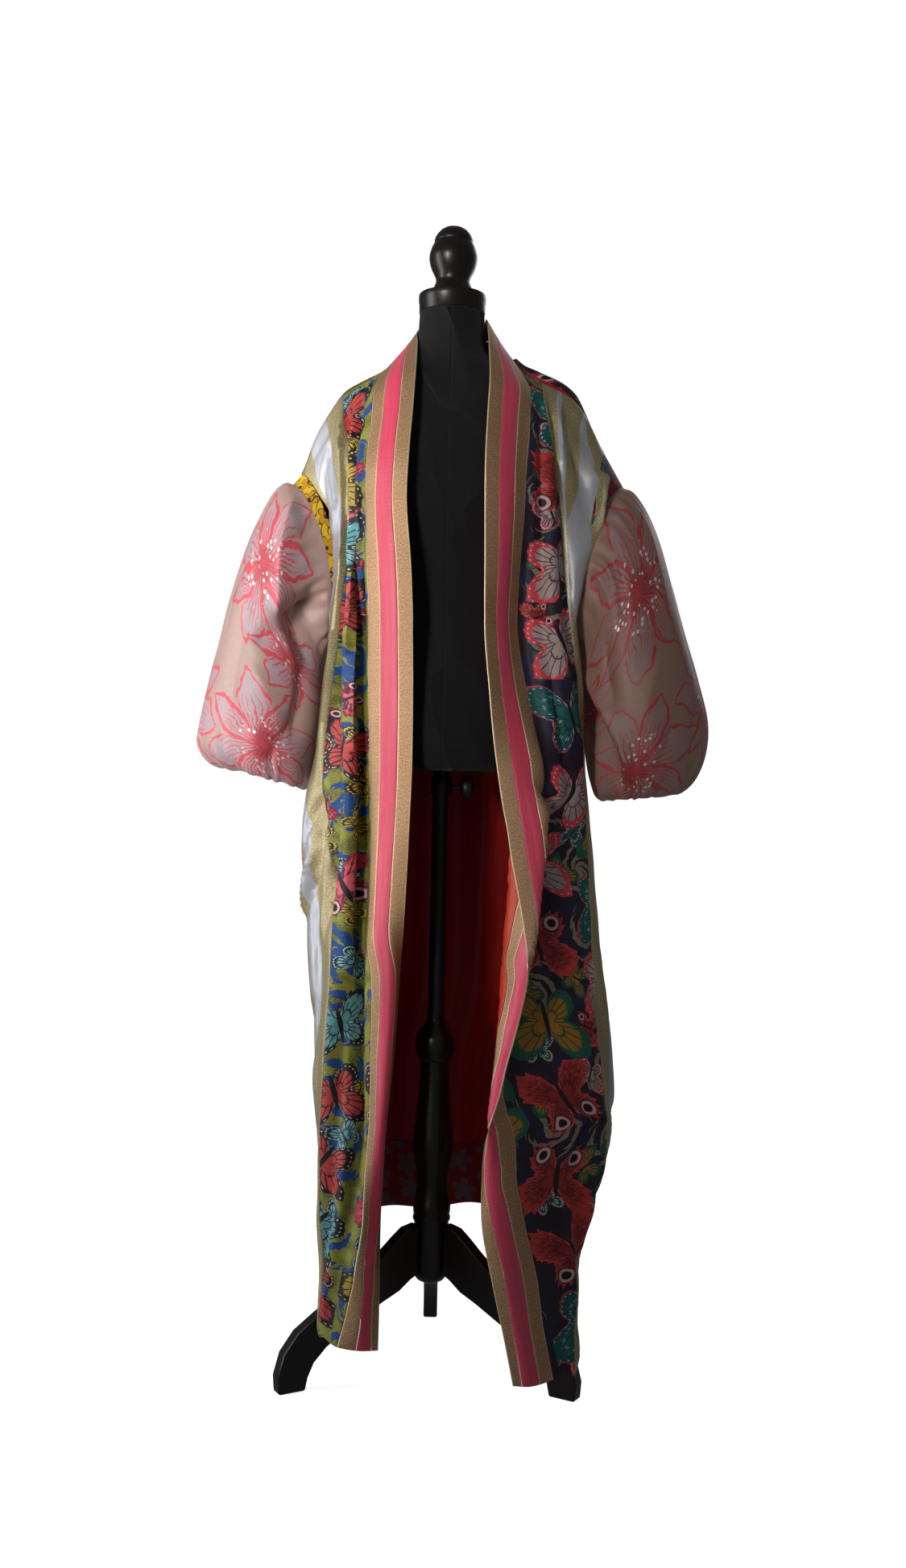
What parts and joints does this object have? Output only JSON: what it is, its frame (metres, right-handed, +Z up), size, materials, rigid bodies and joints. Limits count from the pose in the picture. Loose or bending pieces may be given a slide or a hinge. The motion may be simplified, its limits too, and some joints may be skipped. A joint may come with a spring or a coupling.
{
  "type": "kimono duster on dress form",
  "caption": "Floor-length open kimono duster with patched printed panels, a striped front band and balloon sleeves, worn by a limbless dress form on a turned tripod stand.",
  "frame": {"origin": "centre of the bounding box's footprint, on the floor under the three feet", "axes": "+Z up along the post, -Y the front of the garment, +X the wearer's left"},
  "size_m": [0.7535, 0.423, 1.678],
  "materials": {
    "olive_print": "matte woven print",
    "navy_print": "matte woven print",
    "striped_satin": "satin, silver-white and gold stripes",
    "gold_brocade": "metallic brocade",
    "pink_satin": "satin",
    "red_lining": "satin lining",
    "orange_lining": "satin lining",
    "red_print": "matte print",
    "yellow_print": "matte print",
    "blush_taffeta": "crisp taffeta with woven lilies",
    "form_cover": "black woven cover over foam",
    "dark_wood": "satin lacquer",
    "black_steel": "satin black"
  },
  "bodies": {
    "root": {"print_panel_right": "olive_print", "print_panel_left": "navy_print", "stripe_panel_right": "striped_satin", "stripe_panel_left": "striped_satin", "band_edge_right": "gold_brocade", "band_edge_left": "gold_brocade", "band_outer_right": "gold_brocade", "band_outer_left": "gold_brocade", "band_pink_right": "pink_satin", "band_pink_left": "pink_satin", "back_panel": "navy_print", "back_lining": "red_lining", "back_hem_band": "red_print", "lining_left": "orange_lining", "armhole_band_right": "yellow_print", "armhole_band_left": "red_print", "sleeve_right": "blush_taffeta", "sleeve_left": "blush_taffeta", "form_torso": "form_cover", "neck_cap": "dark_wood", "finial": "dark_wood", "stand_column": "dark_wood", "leg_right": "dark_wood", "leg_left": "dark_wood", "leg_rear": "dark_wood", "post": "black_steel", "clamp_collar": "black_steel", "thumb_screw": "black_steel"}
  },
  "joints": []
}
